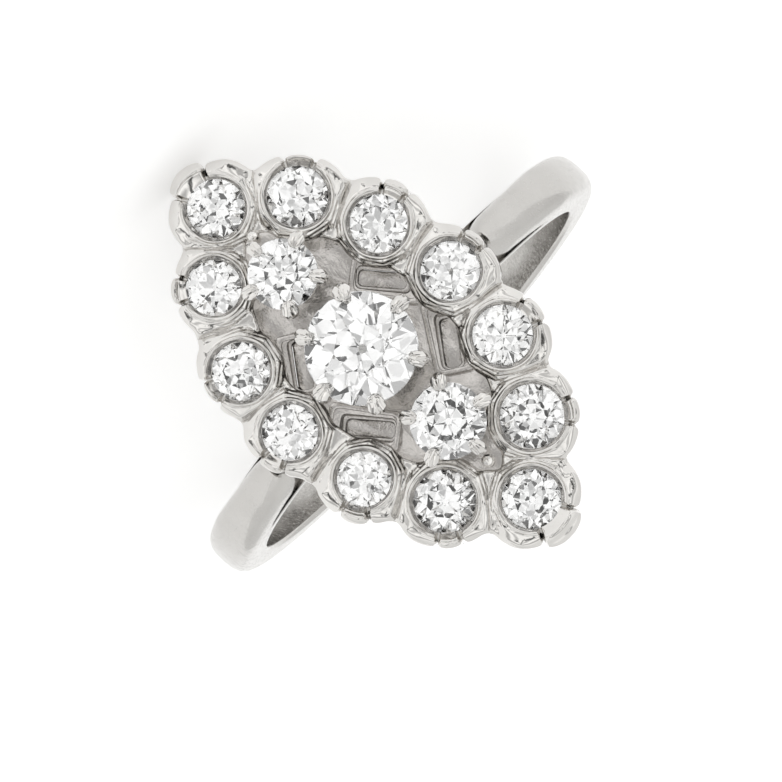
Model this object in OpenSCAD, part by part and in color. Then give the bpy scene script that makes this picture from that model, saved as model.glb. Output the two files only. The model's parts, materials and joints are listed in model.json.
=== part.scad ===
// Navette cluster ring in white gold: a long lens-shaped head of fifteen round diamonds on a plain
// polished shank. It is drawn upright, with the finger hole and the long axis of the head along X and
// the face of the head up along Z, and its origin in the middle of the finger hole. Then the whole
// ring is laid on its side, as it rests on a table by itself: on the blunt end of one tip of the head
// and on the edge of the hoop below it. The face of the head then looks along -Y.

/* [Shank] */
// Inside diameter of the finger hole
finger_d = 18.1; // [15:0.1:20]
// Outside diameter of the hoop, over the crown of its rounded face
hoop_d = 21.4; // [20.6:0.1:22]
// Width of the hoop along the finger
hoop_w = 2.05; // [1.6:0.05:3]
// Thickness of the hoop at its two edges
hoop_edge_t = 0.75; // [0.5:0.05:1]
// Squareness of the rounded face: 2 is an ellipse, more is flatter with tighter shoulders
hoop_square = 3; // [2:0.1:4]

/* [Border cups] */
// Height of the girdles of the border stones over the middle of the finger hole
border_z = 11.6; // [11.4:0.1:12.4]
// Height of the bright rim of a cup over the girdle of its stone
rim_rise = 0.38; // [0.2:0.02:0.6]
// Height of the underside of the head over the middle of the finger hole
base_z = 9.2; // [9.15:0.05:9.5]
// Width of metal round a border stone
cup_wall = 0.56; // [0.5:0.01:0.65]
// Drop of the sloping shoulder outside each rim
shoulder_drop = 0.5; // [0.2:0.05:0.8]
// Reach of the squared corner cups at the two tips, out to their blunt ends
tip_reach = 1.95; // [1.9:0.01:2.1]
// Half width of the squared corner cups
tip_half = 1.84; // [1.8:0.01:1.95]
// Width of the saw cuts that leave a tab on each cup
notch_w = 0.27; // [0.15:0.01:0.4]

/* [Raised settings] */
// Height of the girdle of the middle stone over the middle of the finger hole
centre_z = 13.8; // [13.4:0.1:14.4]
// Height of the girdles of the two stones beside it
inner_z = 13.4; // [13:0.1:14]
// Diameter of a claw
claw_d = 0.5; // [0.4:0.02:0.6]
// Wall of the tapered collars under the raised stones
collar_t = 0.36; // [0.25:0.01:0.5]

/* [Gallery] */
// Top of the pierced floor of the head
floor_z = 10.1; // [9.95:0.05:10.4]

/* [Stones] */
// Gap between each stone and the metal round it
gap = 0.04; // [0.02:0.01:0.06]
// Height of the crown over the diameter
crown_share = 0.16; // [0.12:0.01:0.2]
// Depth of the pavilion over the diameter
pavilion_share = 0.42; // [0.38:0.01:0.44]
// Width of the table over the diameter
table_share = 0.53; // [0.4:0.01:0.6]

/* [Hidden] */
$fn = 64;

// Border stones in order round the head: place along and across the head, diameter, direction of the
// tab, half the angle between its two saw cuts, turn of the stone, and tip, 1 on the squared corners
X = 0;
Y = 1;
DIA = 2;
TAB = 3;
CUT = 4;
SPIN = 5;
TIP = 6;
BORDER = [
  [-8.36, 0.09, 2.35, 179, 29, 12, 1],
  [-6.27, 2.57, 2.47, 129, 24, 31, 0],
  [-3.17, 3.92, 2.35, 107, 20, 7, 0],
  [0.18, 4.42, 2.39, 96, 17, 25, 0],
  [3.40, 3.93, 2.43, 81, 23, 18, 0],
  [6.39, 2.34, 2.59, 50, 19, 4, 0],
  [8.54, -0.08, 2.39, -1, 33, 36, 1],
  [6.07, -2.43, 2.51, -41, 17, 15, 0],
  [3.13, -3.90, 2.20, -63, 22, 28, 0],
  [-0.28, -4.49, 2.27, -78, 20, 9, 0],
  [-3.32, -4.01, 2.35, -103, 21, 40, 0],
  [-6.33, -2.29, 2.24, -133, 22, 21, 0]
];

// Raised stones: place, diameter, direction of the first claw, number of claws, turn, girdle height
FIRST = 3;
CLAWS = 4;
TURN = 5;
HIGH = 6;
CENTRE = [-0.17, -0.09, 4.5, 29, 6, 10, centre_z];
UPPER = [-4.47, -0.01, 2.8, 179, 5, 26, inner_z];
LOWER = [4.22, 0.06, 3.03, -1, 5, 33, inner_z];
RAISED = [CENTRE, UPPER, LOWER];

function stone_name(i) = str("border_stone_", i + 1);

GOLD = "gainsboro";
DIAMOND = "aliceblue";

finger_r = finger_d / 2;
hoop_r = hoop_d / 2;
hoop_edge_r = finger_r + hoop_edge_t;
hoop_rise = hoop_r - hoop_edge_r;
rim_z = border_z + rim_rise;
through = 40;

// Lean of the finger hole from upright as the ring lies: the table touches the foot of the first tip
// and the rounded edge of the hoop. The reach of that edge depends a little on the lean itself, so
// the lean is worked out in a few rounds.
tip_x = tip_reach - BORDER[0][X];
tip_z = base_z + hoop_edge_r;
square_dual = hoop_square / (hoop_square - 1);
function edge_reach(lean) = pow(
  pow(hoop_w / 2 * cos(lean), square_dual) + pow(hoop_rise * sin(lean), square_dual), 1 / square_dual
);
function settled(lean, rounds) =
  rounds == 0 ? lean
  : settled(acos(edge_reach(lean) / norm([tip_x, tip_z])) - atan2(tip_z, tip_x), rounds - 1);
lay_lean = settled(27, 5);

// Height of the middle of the finger hole over the table, and the slide that centres the ring
lift = hoop_edge_r * sin(lay_lean) + edge_reach(lay_lean);
slide = [0, 2.69, 0];

function polar(r, a, z) = [r * cos(a), r * sin(a), z];
function wrap(i, n) = (i + n) % n;

// Heights and radii of the cut of a round stone of diameter 1, over the bottom of its girdle
half_table = table_share / 2;
star_r = 0.39;
hollow_r = 0.22;
culet_r = 0.025;
function crown_z(rho) = girdle_h_share + crown_share * (0.5 - rho) / (0.5 - half_table);
function pavilion_z(rho) = -pavilion_share * (0.5 - rho) / (0.5 - culet_r);
girdle_h_share = 0.022;
facet = 45;
star_z = crown_z(star_r * cos(facet / 2));
hollow_z = pavilion_z(hollow_r * cos(facet / 2));
table_z = crown_z(half_table);

// One cut stone: table, eight stars, eight kites, upper halves, girdle, lower halves, eight mains
// and a small culet
module round_cut(d) {
  k = [0 : 7];
  points = concat(
    [for (i = k) polar(half_table, facet * i, table_z)],
    [for (i = k) polar(star_r, facet * (i + 0.5), star_z)],
    [for (i = [0 : 15]) polar(0.5, facet * i / 2, girdle_h_share)],
    [for (i = [0 : 15]) polar(0.5, facet * i / 2, 0)],
    [for (i = k) polar(hollow_r, facet * (i + 0.5), hollow_z)],
    [for (i = k) polar(culet_r / cos(facet / 2), facet * (i + 0.5), -pavilion_share)]
  );
  table = 0;
  star = 8;
  upper = 16;
  lower = 32;
  hollow = 48;
  culet = 56;
  faces = concat(
    [[for (i = k) table + 7 - i]],
    [for (i = k) [table + i, table + wrap(i + 1, 8), star + i]],
    [for (i = k) [table + i, star + i, upper + 2 * i, star + wrap(i - 1, 8)]],
    [for (i = k) [star + i, upper + 2 * i + 1, upper + 2 * i]],
    [for (i = k) [star + i, upper + wrap(2 * i + 2, 16), upper + 2 * i + 1]],
    [for (i = [0 : 15]) [upper + i, upper + wrap(i + 1, 16), lower + wrap(i + 1, 16), lower + i]],
    [for (i = k) [hollow + i, lower + 2 * i, lower + 2 * i + 1]],
    [for (i = k) [hollow + i, lower + 2 * i + 1, lower + wrap(2 * i + 2, 16)]],
    [for (i = k) [
      lower + 2 * i, hollow + i, culet + i, culet + wrap(i - 1, 8), hollow + wrap(i - 1, 8)
    ]],
    [[for (i = k) culet + i]]
  );
  scale(d) polyhedron(points, faces);
}

// The room that a stone takes in the metal: its own turned outline, a gap larger all round
module stone_room(d) {
  rotate_extrude()
    polygon([
      [0, d * table_z + gap],
      [d * half_table + gap, d * table_z + gap],
      [d * star_r + gap, d * star_z + gap],
      [d / 2 + gap, d * girdle_h_share + gap / 2],
      [d / 2 + gap, -gap / 2],
      [d * hollow_r + gap, d * hollow_z - gap],
      [0, -d * pavilion_share - 2 * gap]
    ]);
}

module lying() {
  translate(slide + [0, 0, lift])
    rotate([0, 0, 90])
      rotate([0, lay_lean - 90, 0])
        children();
}

module at_border(s) {
  translate([s[X], s[Y], border_z]) children();
}

module at_raised(s) {
  translate([s[X], s[Y], s[HIGH]]) children();
}

// The plain hoop, flat inside and rounded outside
function squared(v) = sign(v) * pow(abs(v), 2 / hoop_square);
module hoop() {
  dome = 16;
  section = concat(
    [[finger_r, hoop_w / 2], [finger_r, -hoop_w / 2]],
    [for (i = [0 : dome])
      let (a = -90 + 180 * i / dome)
      [hoop_edge_r + hoop_rise * squared(cos(a)), hoop_w / 2 * squared(sin(a))]]
  );
  rotate([0, 90, 0])
    rotate_extrude($fn = 180)
      polygon(section);
}

// Outline of the border through its valleys, at a given reach outside or inside the ring of stones
function corner(i, reach) =
  let (s = BORDER[wrap(i, 12)], a = atan2(s[Y], s[X]))
  [s[X], s[Y]] + reach * [cos(a), sin(a)];
function valley(i, reach) =
  let (p = BORDER[wrap(i, 12)], q = BORDER[wrap(i + 1, 12)],
       along = [q[X] - p[X], q[Y] - p[Y]], out = [along[Y], -along[X]] / norm(along))
  [p[X] + q[X], p[Y] + q[Y]] / 2 - reach * out;
function outline(reach_c, reach_v) =
  [for (i = [0 : 11]) each [corner(i, reach_c), valley(i, reach_v)]];

// Low wall that joins the cups, the pierced floor inside it and the bearing under the stones
web_drop = 0.75;
module border_wall() {
  difference() {
    translate([0, 0, base_z])
      linear_extrude(rim_z - web_drop - base_z)
        polygon(outline(1.6, 1.56));
    translate([0, 0, floor_z])
      linear_extrude(through)
        polygon(outline(-1.2, -0.85));
    windows();
  }
}

// One cup: a turned block, drafted in towards its foot, with a sloping shoulder up to a narrow
// bright rim
rim_out = 0.28;
draft = 0.12;
module cup(s) {
  r = s[DIA] / 2;
  translate([s[X], s[Y], 0])
    rotate_extrude()
      polygon([
        [0, base_z],
        [r + cup_wall - draft, base_z],
        [r + cup_wall, rim_z - shoulder_drop],
        [r + rim_out, rim_z],
        [0, rim_z]
      ]);
}

// The squared corner with a blunt end at each tip of the head
corner_drop = 0.22;
module tip_corner(s) {
  translate([s[X], s[Y], base_z])
    intersection() {
      rotate(45)
        translate([-tip_half, -tip_half, 0])
          cube([2 * tip_half, 2 * tip_half, rim_z - corner_drop - base_z]);
      translate([-tip_reach, -2 * tip_reach, -1])
        cube([2 * tip_reach, 4 * tip_reach, 6]);
    }
}

// Tapered opening above a border stone, the open back under it, and the two saw cuts beside its tab
module cup_cuts(s) {
  r = s[DIA] / 2;
  translate([s[X], s[Y], 0]) {
    rotate_extrude()
      polygon([
        [0, border_z],
        [r + gap, border_z],
        [r + 0.2, rim_z + 0.01],
        [r + 0.2, rim_z + 1],
        [0, rim_z + 1]
      ]);
    translate([0, 0, base_z - 1])
      cylinder(h = border_z - base_z + 0.5, r = 0.62 * r);
    for (side = [-1, 1])
      rotate(s[TAB] + side * s[CUT])
        translate([r - 0.05, -notch_w / 2, border_z + 0.02])
          cube([2, notch_w, 3]);
  }
}

// Claw setting of a raised stone: a tapered collar with leaning claws that end in rounded tips
collar_share = 0.8;
module claw_setting(s) {
  r = s[DIA] / 2;
  top = s[HIGH] - 0.25 * r;
  foot = floor_z - 0.2;
  foot_r = 0.62 * r;
  head_r = collar_share * r;
  grip_r = r + 0.1;
  foot_claw = foot_r - 0.05;
  claw_h = s[HIGH] + 0.12 - foot;
  lean = atan((grip_r - foot_claw) / claw_h);
  tip_r = claw_d / 2 + 0.06;
  translate([s[X], s[Y], 0]) {
    rotate_extrude()
      polygon([
        [foot_r - collar_t, foot],
        [foot_r, foot],
        [head_r, top],
        [head_r - collar_t, top]
      ]);
    for (i = [0 : s[CLAWS] - 1])
      rotate(s[FIRST] + 360 / s[CLAWS] * i) {
        translate([foot_claw, 0, foot])
          rotate([0, lean, 0])
            cylinder(h = claw_h / cos(lean), d = claw_d, $fn = 24);
        translate([r - 0.02, 0, s[HIGH] + 0.34])
          sphere(r = tip_r, $fn = 24);
      }
  }
}

// Windows through the floor, on the slant beside the middle stone
window_l = 2.2;
window_w = 0.9;
module windows() {
  for (a = [52, 126, 232, 306])
    rotate(a)
      translate([2.5, -window_l / 2, base_z - 1])
        cube([window_w, window_l, 2.5]);
}

// Beads on the long axis, between the raised stones and the tips
module bead(x, y) {
  translate([x, y, floor_z - 0.3]) {
    cylinder(h = 2.2, r = 0.2, $fn = 24);
    translate([0, 0, 2.2])
      sphere(r = 0.27, $fn = 24);
  }
}

module ring_mount() {
  color(GOLD)
    lying()
      difference() {
        union() {
          hoop();
          border_wall();
          for (s = BORDER)
            cup(s);
          for (s = BORDER)
            if (s[TIP] == 1)
              tip_corner(s);
          for (s = RAISED)
            claw_setting(s);
          bead(-6.50, 0.24);
          bead(6.30, -0.10);
        }
        for (s = BORDER)
          cup_cuts(s);
        for (s = BORDER)
          at_border(s) stone_room(s[DIA]);
        for (s = RAISED)
          at_raised(s) stone_room(s[DIA]);
      }
}

module border_stone(s) {
  color(DIAMOND) lying() at_border(s) rotate(s[SPIN]) round_cut(s[DIA]);
}

module raised_stone(s) {
  color(DIAMOND) lying() at_raised(s) rotate(s[TURN]) round_cut(s[DIA]);
}

ring_mount();
raised_stone(CENTRE);  // centre_stone
raised_stone(UPPER);  // upper_stone
raised_stone(LOWER);  // lower_stone
for (i = [0 : len(BORDER) - 1])
  border_stone(BORDER[i]);
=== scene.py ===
import json
from math import atan2, cos, pi, radians, sin, sqrt
from random import Random

import bmesh
import bpy
import numpy as np
from mathutils import Matrix, Vector


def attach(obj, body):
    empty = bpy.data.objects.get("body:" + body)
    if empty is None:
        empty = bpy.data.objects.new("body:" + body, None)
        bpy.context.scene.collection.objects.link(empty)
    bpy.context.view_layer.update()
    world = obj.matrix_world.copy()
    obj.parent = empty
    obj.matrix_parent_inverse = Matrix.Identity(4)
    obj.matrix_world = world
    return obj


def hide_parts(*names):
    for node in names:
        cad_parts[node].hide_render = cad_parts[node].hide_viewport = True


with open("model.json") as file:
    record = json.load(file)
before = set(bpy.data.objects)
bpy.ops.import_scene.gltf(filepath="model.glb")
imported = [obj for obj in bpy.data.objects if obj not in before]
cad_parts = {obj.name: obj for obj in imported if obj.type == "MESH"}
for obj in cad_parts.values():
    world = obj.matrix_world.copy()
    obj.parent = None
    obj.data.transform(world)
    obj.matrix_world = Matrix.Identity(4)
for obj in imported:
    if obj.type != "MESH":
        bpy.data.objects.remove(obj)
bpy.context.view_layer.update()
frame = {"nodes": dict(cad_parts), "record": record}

# The shank. A plain hoop of white gold, flat inside with eased edges and broadly domed outside. At the
# head each shoulder ends in a rounded tongue, and a lower strap carries on under the head, where it is
# soldered. A fine groove between the two runs out along each side.
finger = frame["record"]["mounts"][0]
bore_r = finger["dims"]["r_mm"]
hoop_half = finger["dims"]["length_mm"] / 2
edge_r = bore_r + 0.75
crown_r = bore_r + 1.65
squareness = 3
dome_points = 41
hoop_sections = 150
inner_ease_x = 0.2
inner_ease_r = 0.15
strap_r = bore_r + 0.5
strap_ease = 0.04
strap_out = 0.03
groove_wide = 0.13
groove_deep = 0.16
groove_out = radians(64)
shoulder_lift = 0.35
lift_from = radians(46)
lift_to = radians(33)
tongue_at = radians(34.3)
tongue_round = 1.6 / crown_r
tongue_half = 0.25

# Every piece is drawn in millimetres with the ring upright: x along the finger hole and the long axis of
# the head, y across the head, z out of its face, from the middle of the finger hole. Then it is laid on
# its side with the others, on the blunt end of one tip of the head and on the edge of the hoop.
MM = 0.001
along = Vector(finger["axis"]).normalized()
across = Vector((-1, 0, 0))
facing = along.cross(across)
lay = np.array((along, across, facing))
hole_middle = np.array(finger["pos_m"])


def laid(points):
    """Points of the upright ring, in millimetres, as places in the frame, in metres."""
    return np.asarray(points, float) * MM @ lay + hole_middle


def piece(name, points, faces, material, crease=40):
    """A closed mesh in the frame, smooth but for the edges that are sharper than crease degrees."""
    same_point = 2e-4 * MM
    no_length = 1e-5 * MM
    mesh = bpy.data.meshes.new(name)
    mesh.from_pydata(laid(points).tolist(), [], faces)
    work = bmesh.new()
    work.from_mesh(mesh)
    bmesh.ops.remove_doubles(work, verts=work.verts, dist=same_point)
    bmesh.ops.dissolve_degenerate(work, edges=work.edges, dist=no_length)
    loose = [v for v in work.verts if not v.link_faces]
    bmesh.ops.delete(work, geom=loose, context="VERTS")
    bmesh.ops.recalc_face_normals(work, faces=work.faces)
    work.to_mesh(mesh)
    work.free()
    mesh.polygons.foreach_set("use_smooth", [True] * len(mesh.polygons))
    mesh.set_sharp_from_angle(angle=radians(crease))
    mesh.materials.append(material)
    made = bpy.data.objects.new(name, mesh)
    bpy.context.scene.collection.objects.link(made)
    return made


def stands_for(made, node):
    """A piece moves with the root and takes the place of a solid, which is hidden."""
    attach(made, "root")
    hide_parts(node)


def tube_faces(rings, around):
    """Quads between rings of points, with the same number of points around each."""
    faces = []
    for k in range(rings - 1):
        for i in range(around):
            j = (i + 1) % around
            faces.append((k * around + i, k * around + j, (k + 1) * around + j, (k + 1) * around + i))
    return faces


def joined_tube_faces(rings, around):
    """A tube whose last ring of points is joined to its first."""
    total = rings * around
    return [tuple(v % total for v in face) for face in tube_faces(rings + 1, around)]


def colour(code):
    """A linear colour from its sRGB hex value."""
    channels = [int(code[i : i + 2], 16) / 255 for i in (1, 3, 5)]
    return (*[c / 12.92 if c <= 0.04045 else ((c + 0.055) / 1.055) ** 2.4 for c in channels], 1)


def add(tree, kind, inputs=(), **settings):
    """Adds a node. Each input, by its name or number, is given a value or another node's output."""
    made = tree.nodes.new(kind)
    for key, value in settings.items():
        setattr(made, key, value)
    for key, value in dict(inputs).items():
        if isinstance(value, bpy.types.NodeSocket):
            tree.links.new(value, made.inputs[key])
        else:
            made.inputs[key].default_value = value
    return made


# White gold, cast, filed and polished to a bright grey-white with a warm cast. Close up a hand-polished
# face is never flat: a slow wobble bends what it reflects, and fine hairlines soften it.
wobble_span = 1.3
hairline_span = 0.09
hairline_stretch = (1, 0.12, 1)
# Numbers of the sockets of a node that mixes two colours
mix_share, mix_first, mix_second, mix_result = 0, 6, 7, 2


def polished_gold(name, dark, light, wobble, hairline, roughness):
    """Polished white gold between two tones. Wobble and hairline are heights in millimetres."""
    material = bpy.data.materials.new(name)
    material.use_nodes = True
    tree = material.node_tree
    place = add(tree, "ShaderNodeTexCoord").outputs["Object"]
    drawn_out = add(tree, "ShaderNodeMapping", {"Vector": place, "Scale": hairline_stretch}).outputs["Vector"]
    slow, fine = (
        add(tree, "ShaderNodeTexNoise", {
            "Vector": at,
            "Scale": 1 / (span * MM),
            "Detail": detail,
        }).outputs["Fac"]
        for at, span, detail in ((place, wobble_span, 2.0), (drawn_out, hairline_span, 3.0))
    )
    waves = add(tree, "ShaderNodeBump", {"Height": slow, "Strength": 1.0, "Distance": wobble * MM})
    hairs = add(tree, "ShaderNodeBump", {
        "Height": fine,
        "Strength": 1.0,
        "Distance": hairline * MM,
        "Normal": waves.outputs["Normal"],
    })
    worn = add(tree, "ShaderNodeMapRange", {
        "Value": fine,
        "From Min": 0.3,
        "From Max": 0.75,
        "To Min": roughness * 0.6,
        "To Max": roughness * 1.8,
    })
    tones = {mix_share: slow, mix_first: colour(dark), mix_second: colour(light)}
    tint = add(tree, "ShaderNodeMix", tones, data_type="RGBA")
    shader = tree.nodes["Principled BSDF"]
    shader.inputs["Metallic"].default_value = 1
    tree.links.new(hairs.outputs["Normal"], shader.inputs["Normal"])
    tree.links.new(worn.outputs["Result"], shader.inputs["Roughness"])
    tree.links.new(tint.outputs[mix_result], shader.inputs["Base Color"])
    return material


# Years of wear have given the hoop a softer, greyer shine than the head has.
shank_gold = polished_gold("polished_white_gold_shank", "#BDBBB8", "#C9C7C4", 0.012, 0.001, 0.17)


def hoop_section(half, crown, edge):
    """One section of the hoop as (x, r) pairs: a flat dome with tight shoulders, on the strap."""
    bend = 2 / squareness
    notch = min(strap_out, (hoop_half - half) / 2)
    dome = [
        (half * abs(sin(a)) ** bend * (1 if a > 0 else -1), edge + (crown - edge) * abs(cos(a)) ** bend)
        for a in np.linspace(-pi / 2, pi / 2, dome_points)
    ]
    side = [(hoop_half - notch, strap_r), (hoop_half, strap_r - strap_ease)]
    side += [
        (hoop_half - inner_ease_x * (1 - cos(a)), bore_r + inner_ease_r * (1 - sin(a)))
        for a in np.linspace(0.05, pi / 2, 8)
    ]
    return dome + side + [(0, bore_r)] + [(-x, r) for x, r in side[::-1]]


def share_of(value, start, end):
    """0 at the start, 1 at the end, and straight between them."""
    return max(0, min(1, (value - start) / (end - start)))


def shoulder(angle):
    """0 under the head, 1 along the shank, rounded like the tongue's end between them."""
    past = share_of(abs(angle), tongue_at, tongue_at + tongue_round)
    return sqrt(1 - (1 - past) ** 2)


end_steps = tongue_at + tongue_round * (1 - np.cos(np.linspace(0, pi / 2, 16)))
under_head = np.linspace(0, tongue_at - 0.002, 10)
half_turn = np.concatenate((under_head, end_steps, np.linspace(end_steps[-1], pi, hoop_sections)[1:-1]))
turns = np.concatenate((half_turn, [pi], -half_turn[:0:-1]))
hoop_points = []
for turn in turns:
    full = shoulder(turn)
    groove = share_of(abs(turn), groove_out, tongue_at)
    half = tongue_half + (hoop_half - groove_wide * groove - tongue_half) * full
    rise = shoulder_lift * share_of(abs(turn), lift_from, lift_to)
    edge = edge_r + (strap_r - groove_deep - edge_r) * min(1, 2.5 * groove)
    crown = strap_r + (crown_r + rise - strap_r) * min(1, 3 * full)
    hoop_points += [(x, r * sin(turn), r * cos(turn)) for x, r in hoop_section(half, crown, edge)]
hoop_faces = joined_tube_faces(len(turns), len(hoop_section(hoop_half, crown_r, edge_r)))
shank = piece("shank", hoop_points, hoop_faces, shank_gold)
stands_for(shank, "ring_mount")

# The border. Twelve cups were cast side by side as one band of white gold and each was cut for its stone.
# Their rims are bright and narrow, the flange outside them is nearly flat, the side towards the gallery
# falls in filed steps, and two saw cuts in each cup leave a tab that was pushed over the stone.
CUPS = 12
BORDER = [f"border_stone_{k + 1}" for k in range(CUPS)]


def upright(points):
    """Places in the frame, in metres, as points of the upright ring, in millimetres."""
    return (np.asarray(points, float) - hole_middle) @ lay.T / MM


def seat(node):
    """Middle of the girdle of a stone, its radius and its height, from the stone's solid."""
    points = np.unique(np.round(upright([v.co for v in frame["nodes"][node].data.vertices]), 4), axis=0)
    middle = (points.max(0) + points.min(0)) / 2
    reach = np.hypot(*(points[:, :2] - middle[:2]).T)
    girdle = points[reach > reach.max() - 0.02]
    middle = girdle.mean(0)[:2]
    radius = np.hypot(*(girdle[:, :2] - middle).T).max()
    return np.array((*middle, radius, girdle[:, 2].min()))


seats = np.array([seat(node) for node in BORDER])
centres = seats[:, :2]
radii = seats[:, 2]
girdle_z = seats[0, 3]
rim_z = girdle_z + 0.38
base_z = girdle_z - 2.4

# Direction of each tab from the middle of its cup, half the angle between its two saw cuts, both in
# degrees, and its reach past the edge of its stone
TABS = [
    (179, 29, 0.9), (129, 24, 0.42), (107, 20, 0.66), (96, 18, 0.6), (81, 21, 0.62), (50, 19, 0.6),
    (-1, 31, 0.95), (-41, 18, 0.6), (-63, 22, 0.7), (-78, 20, 0.58), (-103, 21, 0.42), (-133, 22, 0.58),
]
CORNERS = (0, 6)
rim_out = 0.19
outer_strip = 1.3
inner_strip = 1.2
inner_reach = 0.56
inner_from = 1.7
petal_least = 0.56
petal_most = 0.68
petal_swell = 0.16
between_cups = 0.14
saw_half = 0.075
saw_notch = 0.12
# Filed steps towards the gallery, as (past the edge of the stone, width, drop)
FILED_STEPS = ((rim_out - 0.02, 0.08, 0.08), (0.34, 0.05, 0.11), (0.48, 0.06, 0.13))
inner_lowest = -0.46
# Waves of a rim pushed by hand, as (height, number of waves round the cup, shift from cup to cup)
HAND_WAVES = ((0.035, 1, 2.1), (0.016, 3, 1.7), (0.009, 7, 2.9))

# The band is polished brighter than the shank and keeps sharper reflections.
head_gold = polished_gold("polished_white_gold_head", "#CBC9C6", "#E2E0DD", 0.02, 0.002, 0.08)


def eased(x):
    """0 below 0, 1 above 1, and a soft S between them."""
    x = np.clip(x, 0, 1)
    return x * x * (3 - 2 * x)


def blend_low(a, b, width):
    """The lower of two heights, with a rounded change between them."""
    h = np.clip(0.5 + 0.5 * (b - a) / width, 0, 1)
    return b * (1 - h) + a * h - width * h * (1 - h)


def from_tab(d, k):
    """Angle of directions from the tab of cup k, in radians."""
    angle = np.arctan2(d[:, 1], d[:, 0]) - radians(TABS[k][0])
    return (angle + pi) % (2 * pi) - pi


def about_cup(p, k):
    """Distance of points from the middle of cup k, and their angle from its tab."""
    d = p - centres[k]
    return np.hypot(*d.T), from_tab(d, k)


def side_of_ring(p):
    """Distance outside (above 0) or inside the line through the middles of the twelve cups."""
    ends = np.roll(centres, -1, axis=0)
    nearest = np.full(len(p), 1e9)
    inside = np.zeros(len(p), bool)
    for a, b in zip(centres, ends):
        edge = b - a
        t = np.clip(((p - a) @ edge) / (edge @ edge), 0, 1)
        nearest = np.minimum(nearest, np.hypot(*(p - a - t[:, None] * edge).T))
        crosses = (a[1] > p[:, 1]) != (b[1] > p[:, 1])
        x = a[0] + (p[:, 1] - a[1]) * edge[0] / (edge[1] if edge[1] else 1e-9)
        inside ^= crosses & (p[:, 0] < x)
    return np.where(inside, -nearest, nearest)


def reach_of(k, angle):
    """How far the metal of cup k goes past its stone: a short tab, and a petal on each side of it."""
    a = np.degrees(np.abs(angle))
    cut, tab = TABS[k][1:]
    on_tab = tab * (1 - 0.2 * (a / cut) ** 3)
    petal = max(min(tab, petal_most), petal_least) + petal_swell * eased((a - cut) / 40)
    corner = 0.12 * (1 - np.clip((a - cut) / 10, 0, 1)) ** 2
    saw = saw_notch * np.clip(1 - np.abs(a - cut) / 4, 0, 1)
    return np.where(a < cut, on_tab, petal - corner) - saw


def past_edge(p):
    """How far a point lies outside the band of cups, seen from above the head."""
    side = side_of_ring(p)
    edge = np.maximum(side - outer_strip, -side - inner_strip)
    for k in range(CUPS):
        away, angle = about_cup(p, k)
        inner_side = eased((np.abs(angle) - inner_from) / 0.5)
        reach = reach_of(k, angle) * (1 - inner_side) + inner_reach * inner_side
        edge = blend_low(edge, away - radii[k] - reach, between_cups)
    return edge


def slope_out(past):
    """The flange outside a rim: a small drop behind the ridge, then nearly flat to its rolled edge."""
    ridge = -0.1 * eased((past - rim_out + 0.02) / 0.09)
    return ridge - 0.12 * np.maximum(past - 0.3, 0) - 0.3 * np.maximum(past - 0.7, 0)


def slope_in(past):
    """The side towards the gallery falls in steps with narrow ledges, as the file left it."""
    fall = 0.28 * np.maximum(past - 0.22, 0)
    for start, wide, drop in FILED_STEPS:
        fall = fall + drop * eased((past - start) / wide)
    return np.maximum(-fall, inner_lowest)


def hand(k, angle):
    """Unevenness of a rim pushed and filed by hand, and never quite round its stone."""
    return sum(high * np.sin(waves * angle + shift * k) for high, waves, shift in HAND_WAVES)


def filed(k, d, away):
    """Distance from the middle of a cup, as if its steps were filed in flats and not turned."""
    flats = 8 + k % 3
    wide = 2 * pi / flats
    off_flat = (np.arctan2(d[:, 1], d[:, 0]) + 1.3 * k) % wide - wide / 2
    flat = away * np.cos(off_flat) / cos(wide / 3.4)
    share = np.clip((away - radii[k] - 0.2) / 0.12, 0, 1)
    return away + (flat - away) * share


def outward(k):
    """Direction away from the gallery at cup k."""
    ahead = centres[(k + 1) % CUPS] - centres[k - 1]
    normal = np.array((ahead[1], -ahead[0]))
    return normal / np.hypot(*normal) * np.sign(normal @ centres[k])


def from_neighbours(p, own):
    """Distance of points from the two lines that part cup own from its neighbours."""
    nearest = np.full(len(p), 1e9)
    for other in (own - 1, (own + 1) % CUPS):
        ahead = centres[other] - centres[own]
        off = (p - (centres[own] + centres[other]) / 2) @ (ahead / np.hypot(*ahead))
        nearest = np.minimum(nearest, np.abs(off))
    return nearest


def slopes_of_cups(p):
    """For each cup: height of its own slope, distance past its stone, and 1 on its outer side."""
    heights = []
    past = []
    outer = []
    for k in range(CUPS):
        d = p - centres[k]
        away = np.hypot(*d.T)
        share = eased((d @ outward(k)) / np.maximum(away, 1e-6) / 0.5 + 0.62)
        step_at = filed(k, d, away) - radii[k]
        heights.append(share * slope_out(step_at) + (1 - share) * slope_in(step_at))
        past.append(away - radii[k])
        outer.append(share)
    return np.array(heights), np.array(past), np.array(outer)


def valley(near, next_near):
    """Depth of the dip between two cups, a wide one with a fine line along its bottom."""
    between = next_near - near
    wide = 0.18 * np.clip(1 - between / 0.35, 0, 1)
    line = 0.06 * np.clip(1 - between / 0.07, 0, 1)
    return np.clip((near - 0.26) / 0.3, 0, 1) * (wide + line)


def rolled_down(p, side_out):
    """Drop of the face where it rolls over at the edge of the band, more on the outer side."""
    roll = 0.13 + 0.11 * side_out
    inside = np.clip(1 + past_edge(p) / roll, 0, 1)
    return roll * (1 - np.sqrt(1 - inside * inside))


def petal_fold(p, own, past, angle):
    """Drop of the flange on both sides of a soft fold down the middle of each petal."""
    cut = radians(TABS[own][1])
    fold_at = cut + 0.62 + 0.12 * np.sin(own * 2.1 + np.sign(angle))
    off_fold = np.clip(np.abs(np.abs(angle) - fold_at) / 0.5, 0, 1)
    off_tab = eased((np.abs(angle) - cut) / 0.1)
    return 0.25 * off_fold * off_tab * eased((past - 0.28) / 0.5) * eased(from_neighbours(p, own) / 0.45)


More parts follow.
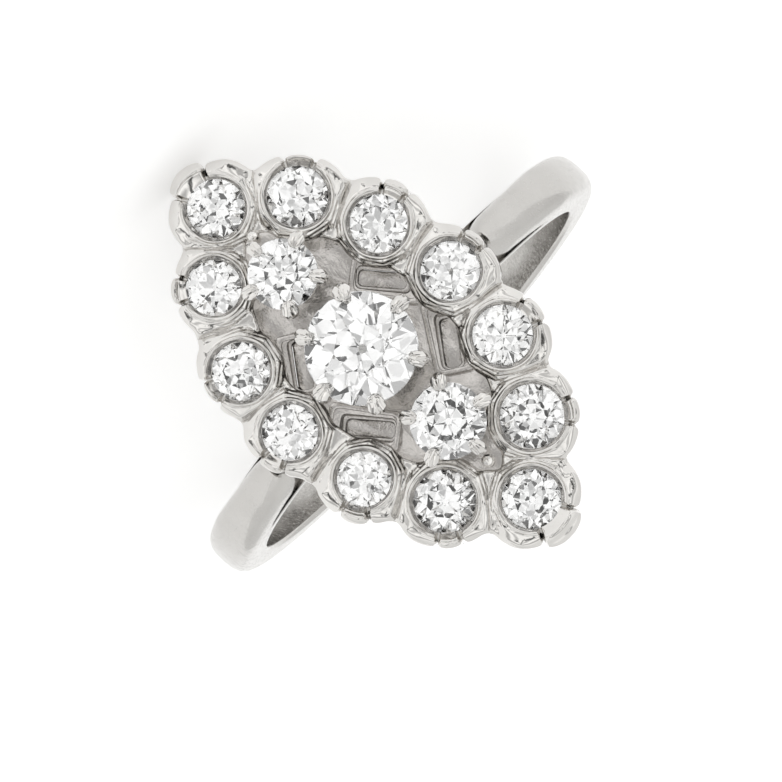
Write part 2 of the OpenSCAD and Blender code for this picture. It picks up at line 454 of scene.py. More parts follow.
def sawn(z, own, past, away, angle):
    """The face with the two saw cuts beside the tab, which open a little inwards and outwards."""
    half = 0.055 + 0.1 * np.clip(0.3 - past, 0, 0.3) + 0.12 * np.maximum(past - 0.45, 0)
    floor = -0.42 - 0.6 * np.maximum(past - 0.25, 0)
    for side in (-1, 1):
        off = np.abs(angle - side * radians(TABS[own][1])) * np.maximum(away, 0.5) / half
        wall = np.clip((1.5 - off) / 1.1, 0, 1)
        z = z * (1 - wall) + np.minimum(z, floor) * wall
    return z


def tab_rise(own, past, angle):
    """Height of a tab over the flange: a pillow with a bulge, and a roof on the two corner tabs."""
    on_tab = np.clip(1 - np.abs(angle) / radians(TABS[own][1]), 0, 1)
    pillow = 0.12 * (1 - np.sqrt(np.clip(1 - (1 - on_tab) ** 4, 0, 1)))
    bulge = 0.19 * np.sin(np.clip(past - 0.22, 0, 0.5) / 0.5 * pi) * np.clip(on_tab * 3, 0, 1)
    roof = 0.2 * on_tab * np.clip((past - 0.15) / 0.3, 0, 1) if own in CORNERS else 0
    return np.where(on_tab > 0, bulge + roof - pillow, 0)


def crest(p, own):
    """Height of the band's upper face over the rims, for points in the cell of cup own."""
    heights, past_stones, outer = slopes_of_cups(p)
    spread = 0.02
    z = np.minimum(spread * np.log(np.sum(np.exp(heights / spread), axis=0)), 0)
    order = np.argsort(past_stones, axis=0)
    near, next_near = np.take_along_axis(past_stones, order, 0)[:2]
    side_out = np.take_along_axis(outer, order, 0)[:2].mean(0)
    z = z - side_out * valley(near, next_near) - rolled_down(p, side_out)
    away, angle = about_cup(p, own)
    past = past_stones[own]
    z = sawn(z - outer[own] * petal_fold(p, own, past, angle), own, past, away, angle)
    return z + tab_rise(own, past, angle) + hand(own, angle) * np.clip((0.26 - past) / 0.07, 0, 1)


def root(f, start, direction, far):
    """Distances along rays, up to far, at which f turns from below to above 0, by halving."""
    low = np.zeros(len(direction))
    high = np.full(len(direction), far)
    halvings = 34
    for _ in range(halvings):
        mid = (low + high) / 2
        over = f(start + direction * mid[:, None]) > 0
        high = np.where(over, mid, high)
        low = np.where(over, low, mid)
    return (low + high) / 2


# Lines that part neighbouring cups, each from the gallery side to the outside
LINE_POINTS = 19
OUTER_POINTS = 60
INNER_POINTS = 34
longest_line = 3.2
longest_spoke = 4.5
line_steps = (1 - np.cos(np.linspace(0, pi, LINE_POINTS))) / 2
parting_lines = []
for k in range(CUPS):
    a = centres[k]
    b = centres[(k + 1) % CUPS]
    middle = (a + b) / 2
    step = np.array((b[1] - a[1], a[0] - b[0]))
    step = step / np.hypot(*step) * np.sign(step @ middle)
    reach_in, reach_out = root(past_edge, middle, np.array((-step, step)), longest_line)
    parting_lines.append((middle - step * reach_in, middle + step * reach_out))


def inward_at(p):
    """Direction straight in from the edge of the band."""
    d = 0.01
    gx = past_edge(p + (d, 0)) - past_edge(p - (d, 0))
    gy = past_edge(p + (0, d)) - past_edge(p - (0, d))
    g = np.stack((gx, gy), 1)
    return -g / np.maximum(np.hypot(*g.T), 1e-9)[:, None]


def edge_arc(k, a, b, count, extra=()):
    """Points of the band's edge seen clockwise from the middle of cup k, from a to b."""
    apart = 0.006
    from_ends = 0.02
    start, end = (atan2(*(p - centres[k])[::-1]) for p in (a, b))
    if end > start:
        end -= 2 * pi
    kept = []
    for angle in extra:
        while angle > start:
            angle -= 2 * pi
        if angle - end > from_ends and start - angle > from_ends:
            kept.append(angle)
    steps = np.linspace(start, end, count)[1:-1]
    even = [step for step in steps if all(abs(step - angle) > apart for angle in kept)]
    angles = np.array(sorted(even + kept, reverse=True))
    directions = np.stack((np.cos(angles), np.sin(angles)), 1)
    return centres[k] + directions * root(past_edge, centres[k], directions, longest_spoke)[:, None]


def cell_edge(k):
    """Points round the edge of cup k's cell, with 1 where they are on an outer or inner wall."""
    before_in, before_out = parting_lines[k - 1]
    after_in, after_out = parting_lines[k]
    saw_wide = saw_half / (radii[k] + 0.25)
    saw_points = [
        radians(TABS[k][0]) + side * radians(TABS[k][1]) + off * saw_wide
        for side in (-1, 1)
        for off in (-2.2, -1.5, -1.1, -0.75, -0.4, 0, 0.4, 0.75, 1.1, 1.5, 2.2)
    ]
    outer = edge_arc(k, before_out, after_out, OUTER_POINTS, saw_points)
    inner = edge_arc(k, after_in, before_in, INNER_POINTS)
    before = before_in + (before_out - before_in) * line_steps[:, None]
    after = after_out + (after_in - after_out) * line_steps[:, None]
    shared = [0] * (LINE_POINTS - 2)
    wall = [1, *shared, *[1] * (len(outer) + 2), *shared, *[1] * (len(inner) + 1)]
    return np.concatenate((before, outer, after, inner)), np.array(wall)


# Section of the bore under a stone, as (past the edge of the bore, height over the base), of its seat, as
# (past the edge of the stone, height over the girdle), and of its lip, as (past the edge of the stone,
# height under the rim)
BORE = ((0.07, 0), (0.02, 0.02), (0, 0.07))
SEAT = ((0.03, -0.02), (0.02, 0.06))
LIP = (
    (-0.03, -0.22), (-0.01, -0.205), (0.02, -0.165), (0.045, -0.122), (0.07, -0.082), (0.09, -0.052),
    (0.11, -0.027), (0.13, -0.01), (0.148, -0.001), (0.165, -0.001),
)
lip_deep = 0.22
lip_sawn_to = -0.36
tab_push = 0.15
corner_tab_push = 0.26
bore_share = 0.62
seat_slope = 0.42 / 0.475
# Distances of the rings of points outside a rim, and shares of the way from the last one to the edge
FLANGE = (
    0.0, 0.02, 0.04, 0.06, 0.08, 0.11, 0.135, 0.16, 0.19, 0.22, 0.25, 0.28, 0.31, 0.35, 0.4, 0.46, 0.52,
)
TO_EDGE = (0.3, 0.55, 0.75, 0.9)
# Shares of the way from the edge down to the foot
WALL_STEPS = (0.06, 0.16, 0.32, 0.5, 0.7, 0.86, 0.95, 1.0)
draft = 0.12
foot_ease = 0.07
corner_foot = 1.95


def level_ring(places, height):
    return np.column_stack((places, np.full(len(places), height)))


def bore_and_seat(k, direction):
    """Rings of points from the foot of cup k up its bore to the girdle of its stone."""
    bore = bore_share * radii[k]
    seat_z = girdle_z - seat_slope * (radii[k] - bore)
    rings = [(bore + out, base_z + up) for out, up in BORE]
    rings += [(bore, seat_z - 0.1), (bore + 0.03, seat_z - 0.05)]
    rings += [(radii[k] + out, girdle_z + up) for out, up in SEAT]
    return [level_ring(centres[k] + direction * away, z) for away, z in rings]


def lip_and_flange(k, edge, direction, far):
    """Rings of points from the girdle up over the rim of cup k and out to the edge of its cell."""
    angle = from_tab(direction, k)
    cut = radians(TABS[k][1])
    off_cut = np.abs(np.abs(angle) - cut) * (radii[k] + 0.2) / saw_half
    in_cut = np.clip(1.6 - off_cut, 0, 1)
    on_tab = np.clip((1 - np.abs(angle) / cut) * 6, 0, 1)
    tab_out = on_tab * (corner_tab_push if k in CORNERS else tab_push)
    uneven = hand(k, angle)
    depth = 1 + 0.22 * np.sin(angle + 2.6 * k) + 0.1 * np.sin(3 * angle + k)
    rings = []
    for out, z in LIP:
        up = (z + lip_deep) / lip_deep
        p = centres[k] + direction * (radii[k] + out + (tab_out + uneven) * up)[:, None]
        height = z * depth + uneven * up
        height = height * (1 - in_cut) + np.minimum(height, lip_sawn_to) * in_cut
        rings.append(np.column_stack((p, rim_z + height)))
    start = np.minimum(radii[k] + rim_out + tab_out * 0.95 + uneven, far - 0.05)
    squeeze = np.minimum(1, (far - start) / 0.75)
    distances = [start + t * squeeze for t in FLANGE]
    distances += [distances[-1] + (far - distances[-1]) * t for t in TO_EDGE]
    places = [centres[k] + direction * distance[:, None] for distance in distances]
    return rings + [np.column_stack((p, rim_z + crest(p, k))) for p in places + [edge]]


def foot_of(k, edge, inward, wall):
    """The cell's edge at the foot, drawn in by the draft, and straight along the parting lines."""
    foot = edge + inward * (draft + foot_ease)
    if k in CORNERS:
        limit = abs(centres[k][0]) + corner_foot
        foot[:, 0] = np.clip(foot[:, 0], -limit, limit)
    marks = np.flatnonzero(wall)
    for i in np.flatnonzero(wall == 0):
        a = marks[marks < i].max()
        b = marks[marks > i].min()
        t = np.hypot(*(edge[i] - edge[a])) / np.hypot(*(edge[b] - edge[a]))
        foot[i] = foot[a] * (1 - t) + foot[b] * t
    return foot


def cup(k):
    """Points and faces of one cup's cell, from the bore under its stone, up and over to its foot."""
    edge, wall = cell_edge(k)
    count = len(edge)
    to_edge = edge - centres[k]
    far = np.hypot(*to_edge.T)
    direction = to_edge / far[:, None]
    rings = bore_and_seat(k, direction) + lip_and_flange(k, edge, direction, far)
    inward = inward_at(edge)
    foot = foot_of(k, edge, inward, wall)
    top_z = rings[-1][:, 2]
    walls = []
    for s in WALL_STEPS:
        z = top_z + (base_z + foot_ease - top_z) * s
        walls.append(np.column_stack((edge + (foot - inward * foot_ease - edge) * s, z)))
    under = (foot + centres[k] + direction * (bore_share * radii[k] + 0.3)) / 2
    points = np.concatenate(rings + walls + [level_ring(foot, base_z), level_ring(under, base_z)])
    faces = tube_faces(len(rings), count)
    first = len(rings) - 1
    base = first + len(walls) + 1
    for i in range(count):
        j = (i + 1) % count
        levels = [(n, n + 1) for n in range(first, base)] if wall[i] and wall[j] else []
        for above, below in levels + [(base, base + 1), (base + 1, 0)]:
            a = above * count
            b = below * count
            faces.append((a + i, a + j, b + j, b + i))
    return points, faces


band_points = []
band_faces = []
start = 0
for k in range(CUPS):
    points, faces = cup(k)
    band_points.append(points)
    band_faces += [tuple(v + start for v in face) for face in faces]
    start += len(points)
border = piece("border_cups", np.concatenate(band_points), band_faces, head_gold, crease=38)
stands_for(border, "ring_mount")

# The gallery. A plate of white gold fills the middle of the head, pierced with a piercing saw: the raised
# collars stand on it, and four long windows beside the middle stone let light in from behind.
floor_z = girdle_z - 1.5
plate_inset = 0.78
window_at = (52, 126, 232, 306)
window_near = 2.5
window_wide = 0.9
window_long = 2.2
ledge_thick = 0.15
collar_wall = 0.36
RAISED = ["centre_stone", "upper_stone", "lower_stone"]
raised_seats = {node: seat(node) for node in RAISED}

# A file reaches these faces badly, so they keep its waves and a rougher shine. Their tones are set greyer and
# darker than the rims' as painted shade of the deep gallery.
shaded_gallery_gold = polished_gold("filed_and_shaded_white_gold_gallery", "#A9A5A1", "#CECBC8", 0.07, 0.008, 0.1)


def circle(x, y, r, count):
    return [(x + r * cos(a), y + r * sin(a)) for a in np.linspace(0, 2 * pi, count, endpoint=False)]


def eased_box(angle, near, wide, long):
    """A rectangle with rounded corners, at a distance from the middle of the head and turned about it."""
    ease = min(0.2, 0.4 * wide)
    c = cos(radians(angle))
    s = sin(radians(angle))
    loop = []
    for middle_x, middle_y, first in (
        (near + wide - ease, long / 2 - ease, 0),
        (near + ease, long / 2 - ease, 90),
        (near + ease, -long / 2 + ease, 180),
        (near + wide - ease, -long / 2 + ease, 270),
    ):
        for turn in (0, 30, 60, 90):
            x = middle_x + ease * cos(radians(first + turn))
            y = middle_y + ease * sin(radians(first + turn))
            loop.append((x * c - y * s, x * s + y * c))
    return loop


def turned_in(points, inset):
    """A convex outline moved in by inset on every side."""
    ahead = np.roll(points, -1, axis=0) - points
    normal = np.stack((ahead[:, 1], -ahead[:, 0]), 1) / np.hypot(*ahead.T)[:, None]
    normal *= np.sign((normal * points).sum(1))[:, None]
    level = (normal * points).sum(1) - inset
    corners = []
    for k in range(len(points)):
        two = np.array((normal[k - 1], normal[k]))
        corners.append(np.linalg.solve(two, (level[k - 1], level[k])))
    return corners


def pierced_plate(name, outside, openings, low, high, ease):
    """A flat plate with openings and eased edges, closed, from a filled flat curve."""
    curve = bpy.data.curves.new(name, "CURVE")
    curve.dimensions = "2D"
    curve.fill_mode = "BOTH"
    for loop in (outside, *openings):
        line = curve.splines.new("POLY")
        line.points.add(len(loop) - 1)
        for point, (x, y) in zip(line.points, loop):
            point.co = (x, y, 0, 1)
        line.use_cyclic_u = True
    curve.extrude = (high - low) / 2 - ease
    curve.bevel_depth = ease
    curve.bevel_resolution = 2
    curve.offset = -ease
    body = bpy.data.objects.new(f"{name}_line", curve)
    bpy.context.scene.collection.objects.link(body)
    mesh = bpy.data.meshes.new_from_object(body)
    bpy.data.objects.remove(body)
    places = np.array([v.co for v in mesh.vertices]) + (0, 0, (high + low) / 2)
    # Every plate takes the gallery's darker tones, which are painted shade of the recess.
    made = piece(name, places, [tuple(p.vertices) for p in mesh.polygons], shaded_gallery_gold, 30)
    bpy.data.meshes.remove(mesh)
    stands_for(made, "ring_mount")


windows = [eased_box(angle, window_near, window_wide, window_long) for angle in window_at]
wells = [circle(x, y, bore_share * r - collar_wall, 48) for x, y, r, z in raised_seats.values()]
outline = turned_in(centres, plate_inset)
pierced_plate("gallery_plate", outline, windows + wells, base_z, floor_z, ease=0.05)

# Ledges of a window: how far each goes past it, then its well's distance from the near side, width and
# distance from the ends, then its height over the floor and its turn, in degrees. The lowest one's well
# is a slot that is hidden under the ledge above.
LEDGES = (
    (0.36, 0.2, 1.22, 0.2, 0.34, 2.5),
    (0.02, 0.14, 0.66, 0.14, -0.2, -1.5),
    (0.12, 0.9, 0.1, 0.4, -0.5, -1.5),
)
for number, angle in enumerate(window_at):
    for ledge, (grow, well_from, well_wide, well_ends, rise, askew) in enumerate(LEDGES):
        turn = angle + askew * (-1) ** number
        near = window_near - grow
        long = window_long + 2 * grow
        pierced_plate(
            f"window_ledge_{number + 1}_{ledge + 1}",
            eased_box(turn, near, window_wide + 2 * grow, long),
            [eased_box(turn, near + well_from, well_wide, long - 2 * well_ends)],
            floor_z + min(rise, 0) - ledge_thick,
            floor_z + rise,
            ease=0.03,
        )

# The collars. Under each of the three raised stones stands a tapered tube of white gold, turned and
# soldered to the plate, open below, with its top cut to the slope of the stone's pavilion.
pavilion_slope = 0.9


def turned_piece(profile, x, y, around):
    """Points of a turned shape, from (r, z) pairs, ring by ring."""
    return [(px, py, z) for r, z in profile for px, py in circle(x, y, r, around)]


for node, (x, y, r, z) in raised_seats.items():
    foot_r = bore_share * r
    head_r = 0.95 * r
    top = z - 0.1 * r
    neck = floor_z + 0.2
    profile = [
        (foot_r - collar_wall, floor_z - 0.3),
        (foot_r, floor_z - 0.3),
        (foot_r + 0.1, floor_z - 0.02),
        (foot_r + 0.03, floor_z + 0.08),
        (foot_r + 0.02, neck),
    ]
    profile += [
        (foot_r + (head_r - foot_r) * s**1.6, neck + (top - neck) * s) for s in np.linspace(0.1, 0.92, 10)
    ]
    inner_r = head_r - collar_wall
    inner_top = top - 0.02 - collar_wall * pavilion_slope
    profile += [
        (head_r, top - 0.05),
        (head_r - 0.01, top - 0.02),
        (head_r - 0.04, top - 0.02 - 0.03 * pavilion_slope),
        (inner_r, inner_top),
        (inner_r - 0.02, inner_top - 0.08),
    ]
    around = 72
    faces = joined_tube_faces(len(profile), around)
    collar = piece(f"{node}_collar", turned_piece(profile, x, y, around), faces, head_gold)
    stands_for(collar, "ring_mount")

# The claws. Round wires of white gold, soldered to the collars, lean out past the girdle. Their tips were
# pushed over the edge of the stone and filed into beads with small facets and two grooves.

# Claws on each stone, the direction of the first one in degrees, and their size
CLAWS = {"centre_stone": (6, 29, 1.12), "upper_stone": (5, 179, 1.0), "lower_stone": (5, -1, 1.0)}
# Facets of a tip, as their direction and their distance from the middle of the bead
CLAW_FACETS = (
    ((0.3, 0.62, 0.75), 0.22),
    ((0.3, -0.45, 0.85), 0.22),
    ((-0.5, 0, 0.84), 0.22),
    ((0.85, 0, 0.6), 0.29),
)
claw_around = 48
groove_from_middle = 0.1
groove_half = 0.03
claw_groove_deep = 0.06

# The setter's tool burnishes the tips, so they shine harder than the rest of the head.
claw_gold = polished_gold("burnished_white_gold_claws", "#CBC9C6", "#E6E4E1", 0.004, 0.0004, 0.035)


def ring_of_copies():
    """Node tree: copies of the piece it is put on, turned round the middle, each a little uneven."""
    tree = bpy.data.node_groups.new("ring_of_copies", "GeometryNodeTree")
    for name, kind in (
        ("Geometry", "Geometry"), ("Count", "Int"), ("First", "Float"), ("Uneven turn", "Float"),
        ("Uneven size", "Float"), ("Material", "Material"),
    ):
        tree.interface.new_socket(name, in_out="INPUT", socket_type=f"NodeSocket{kind}")
    tree.interface.new_socket("Geometry", in_out="OUTPUT", socket_type="NodeSocketGeometry")
    given = add(tree, "NodeGroupInput").outputs
    index = add(tree, "GeometryNodeInputIndex").outputs[0]
    turns = add(tree, "ShaderNodeMath", {0: index, 1: 2 * pi}, operation="MULTIPLY").outputs[0]
    share = add(tree, "ShaderNodeMath", {0: turns, 1: given["Count"]}, operation="DIVIDE").outputs[0]
    even = add(tree, "ShaderNodeMath", {0: share, 1: given["First"]}, operation="ADD").outputs[0]
    least, most, value = 2, 3, 1
    sway, swell = (
        add(tree, "FunctionNodeRandomValue", {least: -1, most: 1, "Seed": seed}, data_type="FLOAT")
        for seed in (3, 8)
    )
    turn, wide = (
        add(tree, "ShaderNodeMath", {0: drawn.outputs[value], 1: spread, 2: middle}, operation="MULTIPLY_ADD")
        for drawn, spread, middle in (
            (sway, given["Uneven turn"], even),
            (swell, given["Uneven size"], 1.0),
        )
    )
    points = add(tree, "GeometryNodePoints", {"Count": given["Count"]})
    rotation = add(tree, "ShaderNodeCombineXYZ", {"Z": turn.outputs[0]})
    scale = add(tree, "ShaderNodeCombineXYZ", {"X": 1.0, "Y": wide.outputs[0], "Z": 1.0})
    copies = add(tree, "GeometryNodeInstanceOnPoints", {
        "Points": points.outputs[0],
        "Instance": given["Geometry"],
        "Rotation": rotation.outputs[0],
        "Scale": scale.outputs[0],
    })
    real = add(tree, "GeometryNodeRealizeInstances", {"Geometry": copies.outputs[0]}).outputs[0]
    dressed = add(tree, "GeometryNodeSetMaterial", {"Geometry": real, "Material": given["Material"]})
    add(tree, "NodeGroupOutput", {"Geometry": dressed.outputs[0]})
    return tree


def copied_round(name, points, faces, middle, values):
    """Runs the node tree on a shape drawn about the middle of its setting, and returns the result."""
    mesh = bpy.data.meshes.new(name)
    mesh.from_pydata(np.asarray(points).tolist(), [], faces)
    pattern = bpy.data.objects.new(f"{name}_pattern", mesh)
    bpy.context.scene.collection.objects.link(pattern)
    modifier = pattern.modifiers.new("copies", "NODES")
    modifier.node_group = copies_tree
    for item in copies_tree.interface.items_tree:
        if item.in_out == "INPUT" and item.name in values:
            modifier[item.identifier] = values[item.name]
    ready = pattern.evaluated_get(bpy.context.evaluated_depsgraph_get())
    result = bpy.data.meshes.new_from_object(ready)
    places = np.array([v.co for v in result.vertices]) + (*middle, 0)
    faces = [tuple(p.vertices) for p in result.polygons]
    bpy.data.objects.remove(pattern)
    bpy.data.meshes.remove(result)
    return places, faces


def capped_tube_faces(rings, around):
    last = (rings - 1) * around
    return tube_faces(rings, around) + [tuple(range(around)), tuple(range(last, last + around))]


def claw_wire(r, z, size):
    """The wire of a claw on the +x side of its stone, as rings of points, leaning out from the collar."""
    foot_r = bore_share * r
    # Middle line of the wire, as (distance from the middle of the stone, height, half thickness)
    path = np.array([
        (foot_r - 0.02, floor_z - 0.05, 0.23),
        (foot_r + 0.03, floor_z + 0.25, 0.22),
        (0.78 * r, z - 0.62, 0.24),
        (0.94 * r, z - 0.25, 0.27),
        (r + 0.1, z - 0.02, 0.29),
        (r + 0.12, z + 0.13 * size, 0.3 * size),
        (r + 0.08, z + 0.27 * size, 0.31 * size),
        (r - 0.02, z + 0.4 * size, 0.3 * size),
        (r - 0.13, z + 0.48 * size, 0.26 * size),
        (r - 0.23, z + 0.53 * size, 0.2 * size),
        (r - 0.3, z + 0.55 * size, 0.12 * size),
        (r - 0.335, z + 0.555 * size, 0.03 * size),
    ])
    side = np.array((0, 1, 0))
    points = []
    for k, (x, height, thick) in enumerate(path):
        a = path[max(k - 1, 0)]
        b = path[min(k + 1, len(path) - 1)]
        tangent = np.array((b[0] - a[0], 0, b[1] - a[1]))
        lift = np.cross(side, tangent / np.linalg.norm(tangent))
        middle = np.array((x, 0, height))
        points += [middle + u * side + v * lift for u, v in circle(0, 0, thick, claw_around)]
    return np.array(points), capped_tube_faces(len(path), claw_around)


def filed_tip(points, r, z, size):
    """The same points with the facets and the two grooves filed into the tip."""
    bead = np.array((r - 0.02, 0, z + 0.33 * size))
    for direction, away in CLAW_FACETS:
        normal = np.array(direction) / np.linalg.norm(direction)
        over = (points - bead) @ normal - away * size
        points = points - np.where((over > 0) & (points[:, 2] > z + 0.1), over, 0)[:, None] * normal
    off_groove = (np.abs(points[:, 1]) - groove_from_middle * size) / groove_half
    groove = claw_groove_deep * np.exp(-(off_groove**2)) * (points[:, 2] > z + 0.15)
    return points - groove[:, None] * np.array((0.3, 0, 0.95))


copies_tree = ring_of_copies()
for node, (count, first, size) in CLAWS.items():
    x, y, r, z = raised_seats[node]
    wire, faces = claw_wire(r, z, size)
    values = {
        "Count": count,
        "First": radians(first),
        "Uneven turn": 0.05,
        "Uneven size": 0.1,
        "Material": claw_gold,
    }
    points, faces = copied_round(f"{node}_claws", filed_tip(wire, r, z, size), faces, (x, y), values)
    claws = piece(f"{node}_claws", points, faces, claw_gold, crease=22)
    stands_for(claws, "ring_mount")

# The beads. On the long axis a short post of white gold with a round head fills the corner between each
# small raised stone and the tip. It is soldered to a low step of the plate and burnished like the claws.

# Middle and radius of each step, and middle of each bead
STEPS = ((-6.3, 0.1, 1.1), (6.1, -0.03, 1.25))
BEADS = ((-6.50, 0.24), (6.30, -0.10))
step_z = rim_z - 0.5
for number, (x, y, step_r) in enumerate(STEPS):
    pierced_plate(f"tip_step_{number + 1}", circle(x, y, step_r, 12), [], floor_z - 0.1, step_z, ease=0.08)
bead_r = 0.29
bead_z = floor_z + 1.9
bead_around = 9
profile = [
    (0.001, floor_z - 0.1), (0.24, floor_z - 0.1), (0.22, floor_z + 0.1), (0.19, floor_z + 0.3),
    (0.18, bead_z - 0.45), (0.2, bead_z - 0.25),
]
profile += [(bead_r * cos(a), bead_z + bead_r * sin(a)) for a in np.radians((-40, -5, 22, 50, 74, 88))]
for number, (x, y) in enumerate(BEADS):
    points = turned_piece(profile, x, y, bead_around)
    faces = capped_tube_faces(len(profile), bead_around)
    bead = piece(f"tip_bead_{number + 1}", points, faces, claw_gold, crease=15)
    stands_for(bead, "ring_mount")

# The stones. Old-cut round diamonds: a table, eight stars, eight kites, sixteen upper halves, a girdle,
# sixteen lower halves, eight mains and a small flat culet, each cut by hand and a little different from
# the next. The metal of its cup or its claws holds each one by its edge.
SIDES = 8
girdle_high = 0.022
girdle_dip = 0.012
girdle_fine = 4
star_share = 0.53
hollow_share = 0.21
# Turn of each border stone in its cup, in degrees
TURNS = [12, 31, 7, 25, 18, 4, 36, 15, 28, 9, 40, 21]
# Turn of each raised stone in its claws, and width of its table over its diameter
RAISED_CUTS = {"centre_stone": (10, 0.46), "upper_stone": (26, 0.52), "lower_stone": (33, 0.55)}
chance = Random(11)


def plain_material(name, values):
    """A material with the same values all over."""
    material = bpy.data.materials.new(name)
    material.use_nodes = True
    for key, value in values.items():
        material.node_tree.nodes["Principled BSDF"].inputs[key].default_value = value
    return material


# Diamond, cut and polished to flat faces with hard edges: clear, bright, with small dark reflections.
clear = {"Base Color": colour("#FFFFFF"), "Roughness": 0, "IOR": 2.417, "Transmission Weight": 1}
diamond = plain_material("diamond_cut_and_polished", clear)


def cut_stone(node, x, y, r, z, turn, table, crown, pavilion, culet):
    """One stone. Table, crown, pavilion and culet are shares of its diameter."""
    step = 2 * pi / SIDES
    count = 2 * SIDES * girdle_fine
    half_table = table / 2
    star = half_table + (0.5 - half_table) * star_share
    crown_slope = crown / (0.5 - half_table)
    pavilion_slope = pavilion / (0.5 - culet)
    points = []

    def uneven_ring(radius, offset, height, uneven):
        """Adds the corners of a ring of facets, and returns the number of the first."""
        first = len(points)
        for k in range(SIDES):
            a = step * (k + offset + chance.uniform(-uneven, uneven))
            away = radius * (1 + chance.uniform(-uneven, uneven))
            points.append((away * cos(a), away * sin(a), height))
        return first

    def girdle_ring(height, dip):
        """Adds one edge of the girdle, which dips between the facets' corners."""
        first = len(points)
        for k in range(count):
            a = 2 * pi * k / count
            level = height + dip * sin(pi * (k % girdle_fine) / girdle_fine)
            points.append((0.5 * cos(a), 0.5 * sin(a), level))
        return first

    table_ring = uneven_ring(half_table, 0, girdle_high + crown, 0.025)
    star_z = girdle_high + crown_slope * (0.5 - star * cos(step / 2))
    star_ring = uneven_ring(star, 0.5, star_z, 0.03)
    upper = girdle_ring(girdle_high, -girdle_dip)
    lower = girdle_ring(0, girdle_dip)
    hollow_z = -pavilion_slope * (0.5 - hollow_share * cos(step / 2))
    hollow = uneven_ring(hollow_share, 0.5, hollow_z, 0.05)
    tip = uneven_ring(culet / cos(step / 2), 0.5, -pavilion, 0.1)
    faces = [tuple(table_ring + k for k in range(SIDES)), tuple(tip + k for k in range(SIDES))]
    for k in range(SIDES):
        after = (k + 1) % SIDES
        before = (k - 1) % SIDES
        a = 2 * k * girdle_fine
        b = a + girdle_fine
        first_half = range(a, b + 1)
        second_half = range(b, b + girdle_fine + 1)
        faces.append((table_ring + k, star_ring + k, table_ring + after))
        faces.append((table_ring + k, star_ring + before, upper + a, star_ring + k))
        for part in (first_half, second_half):
            faces.append((star_ring + k, *[upper + v % count for v in part]))
            faces.append((hollow + k, *[lower + v % count for v in reversed(part)]))
        faces.append((lower + a, hollow + k, tip + k, tip + before, hollow + before))
    for k in range(count):
        j = (k + 1) % count
        faces.append((upper + k, lower + k, lower + j, upper + j))
    c = cos(radians(turn))
    s = sin(radians(turn))
    shape = np.array(points) * 2 * r @ np.array(((c, s, 0), (-s, c, 0), (0, 0, 1)))
    made = piece(f"{node}_cut", shape + (x, y, z), faces, diamond, crease=1)
    made.data.polygons.foreach_set("use_smooth", [False] * len(made.data.polygons))
    stands_for(made, node)


for node, (x, y, r, z), turn in zip(BORDER, seats, TURNS):
    table = chance.uniform(0.5, 0.6)
    crown = chance.uniform(0.135, 0.165)
    pavilion = chance.uniform(0.395, 0.425)
    culet = chance.uniform(0.02, 0.05)
    cut_stone(node, x, y, r, z, turn, table, crown, pavilion, culet)
for node, (turn, table) in RAISED_CUTS.items():
    cut_stone(node, *raised_seats[node], turn, table, 0.16, 0.42, 0.04)

# The stage. The ring lies on a sheet of matt white paper that glows a little in the light of the tent, so
# that it comes out nearly white, as in jewellery photographs.
white = colour("#FFFFFF")
matt = {"Base Color": white, "Roughness": 0.9, "Emission Color": white, "Emission Strength": 0.22}
paper = plain_material("white_paper", matt)
reach = 1.5
table_mesh = bpy.data.meshes.new("table_sheet")
corners = [(-reach, -reach, 0), (reach, -reach, 0), (reach, reach, 0), (-reach, reach, 0)]
table_mesh.from_pydata(corners, [], [(0, 1, 2, 3)])
table_mesh.materials.append(paper)
table_sheet = bpy.data.objects.new("table_sheet", table_mesh)
bpy.context.scene.collection.objects.link(table_sheet)

# The light. A round white tent with its middle in front of the head, in brighter and dimmer bands, seven
# narrow dark flags round the lens for contrast in the stones, and a broad lamp above and behind the ring.
world = bpy.data.worlds.new("tent")
bpy.context.scene.world = world
world.use_nodes = True
sky = world.node_tree
# Bands of the tent, as the angle from the front of the head, where 1 is behind it, and brightness
TENT = (
    (0, 0.6), (0.035, 0.62), (0.07, 1.2), (0.14, 1.4), (0.175, 0.75), (0.21, 0.75), (0.25, 1.4),
    (0.3, 1.35), (0.33, 0.62), (0.38, 0.58), (0.42, 1.2), (0.5, 1.05), (0.54, 0.95), (0.63, 0.95),
    (0.66, 0.88), (0.7, 0.88), (0.73, 0.9), (1, 0.8),
)
flag_count = 7
flag_turn = 0.6
flag_dark = 0.92
flag_from = 0.09
flag_to = 0.32
lamp_at = (along - 0.27 * facing).normalized()
lamp_white = (0.98, 0.98, 0.97, 1)
sight = add(sky, "ShaderNodeTexCoord").outputs["Generated"]
from_front, from_side, from_end, from_lamp = (
    add(sky, "ShaderNodeVectorMath", {0: sight, 1: direction}, operation="DOT_PRODUCT").outputs["Value"]
    for direction in (facing, across, along, lamp_at)
)
arc = add(sky, "ShaderNodeMath", {0: from_front}, operation="ARCCOSINE").outputs[0]
off_front = add(sky, "ShaderNodeMath", {0: arc, 1: pi}, operation="DIVIDE").outputs[0]
ramp = add(sky, "ShaderNodeValToRGB", {"Fac": off_front})
bands = ramp.color_ramp
bands.interpolation = "LINEAR"
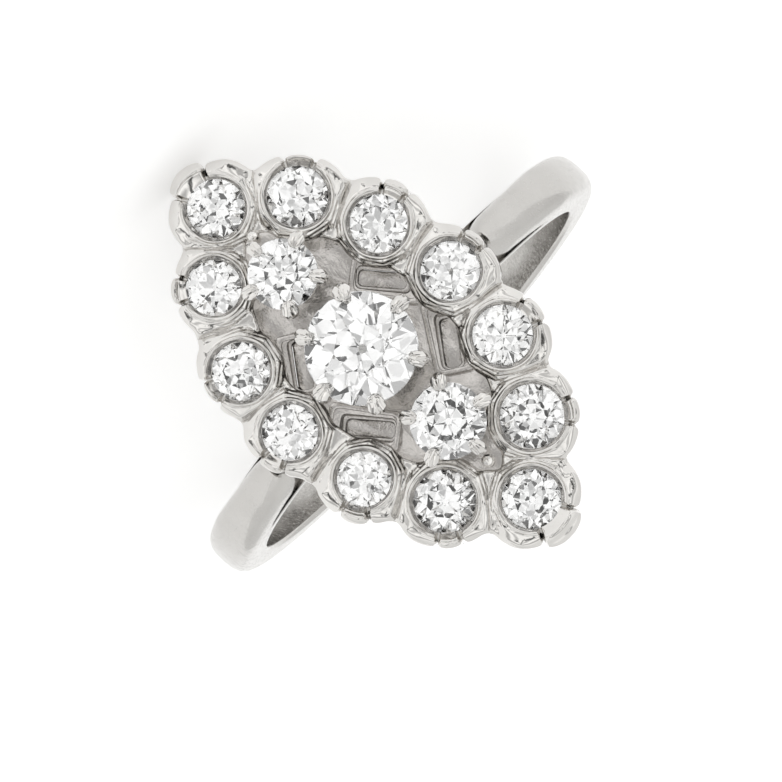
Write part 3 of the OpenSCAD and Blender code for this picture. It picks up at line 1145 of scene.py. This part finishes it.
# A new ramp has two stops, and the others are added
for number, (at, level) in enumerate(TENT):
    stop = bands.elements[number] if number < 2 else bands.elements.new(at)
    stop.position = at
    stop.color = (level, level, level * 0.993, 1)
around = add(sky, "ShaderNodeMath", {0: from_side, 1: from_end}, operation="ARCTAN2").outputs[0]
turned = {0: around, 1: flag_count, 2: flag_turn}
turned = add(sky, "ShaderNodeMath", turned, operation="MULTIPLY_ADD").outputs[0]
wave = add(sky, "ShaderNodeMath", {0: turned}, operation="COSINE").outputs[0]
flags, past_start, before_end, lamp = (
    add(sky, "ShaderNodeMapRange", {
        "Value": value,
        "From Min": first,
        "From Max": last,
        "To Min": low,
        "To Max": high,
    }).outputs[0]
    for value, first, last, low, high in (
        (wave, 0.8, 0.88, 0, flag_dark),
        (off_front, flag_from, flag_from + 0.01, 0, 1),
        (off_front, flag_to - 0.02, flag_to, 1, 0),
        (from_lamp, 0.72, 0.86, 0, 1),
    )
)
zone = add(sky, "ShaderNodeMath", {0: past_start, 1: before_end}, operation="MULTIPLY").outputs[0]
dark = add(sky, "ShaderNodeMath", {0: flags, 1: zone}, operation="MULTIPLY").outputs[0]
strength = add(sky, "ShaderNodeMath", {0: 1.0, 1: dark}, operation="SUBTRACT").outputs[0]
tones = {mix_share: lamp, mix_first: ramp.outputs["Color"], mix_second: lamp_white}
light = add(sky, "ShaderNodeMix", tones, data_type="RGBA")
sky.links.new(light.outputs[mix_result], sky.nodes["Background"].inputs["Color"])
sky.links.new(strength, sky.nodes["Background"].inputs["Strength"])

# The camera. A long lens at the photograph's angle to the head, nearly square to its face, with the long
# axis of the head from upper left to lower right.
tilt_along = radians(5.8)
tilt_across = radians(2.2)
axis_angle = radians(42.1)
pixels_per_mm = 25.5
camera_away = 400
picture = 782
head_at = (372, 352)
look = np.array(Vector((sin(tilt_along), sin(tilt_across), 1)).normalized())
axis_x = np.array((1.0, 0, 0)) - look[0] * look
axis_x /= np.linalg.norm(axis_x)
axis_y = np.cross(look, axis_x)
right = cos(axis_angle) * axis_x + sin(axis_angle) * axis_y
up = -sin(axis_angle) * axis_x + cos(axis_angle) * axis_y
shift = (right * (picture / 2 - head_at[0]) - up * (picture / 2 - head_at[1])) / pixels_per_mm
place = np.array((0, 0, girdle_z)) + look * camera_away + shift
lens = bpy.data.cameras.new("camera")
lens.sensor_width = 36
lens.lens = pixels_per_mm * camera_away * lens.sensor_width / picture
lens.clip_start = 0.01
camera = bpy.data.objects.new("camera", lens)
facing_head = Matrix([Vector(v @ lay) for v in (right, up, look)]).transposed()
camera.matrix_world = Matrix.Translation(Vector(laid(place))) @ facing_head.to_4x4()
bpy.context.scene.collection.objects.link(camera)
bpy.context.scene.camera = camera
bpy.context.scene.view_settings.view_transform = "Standard"
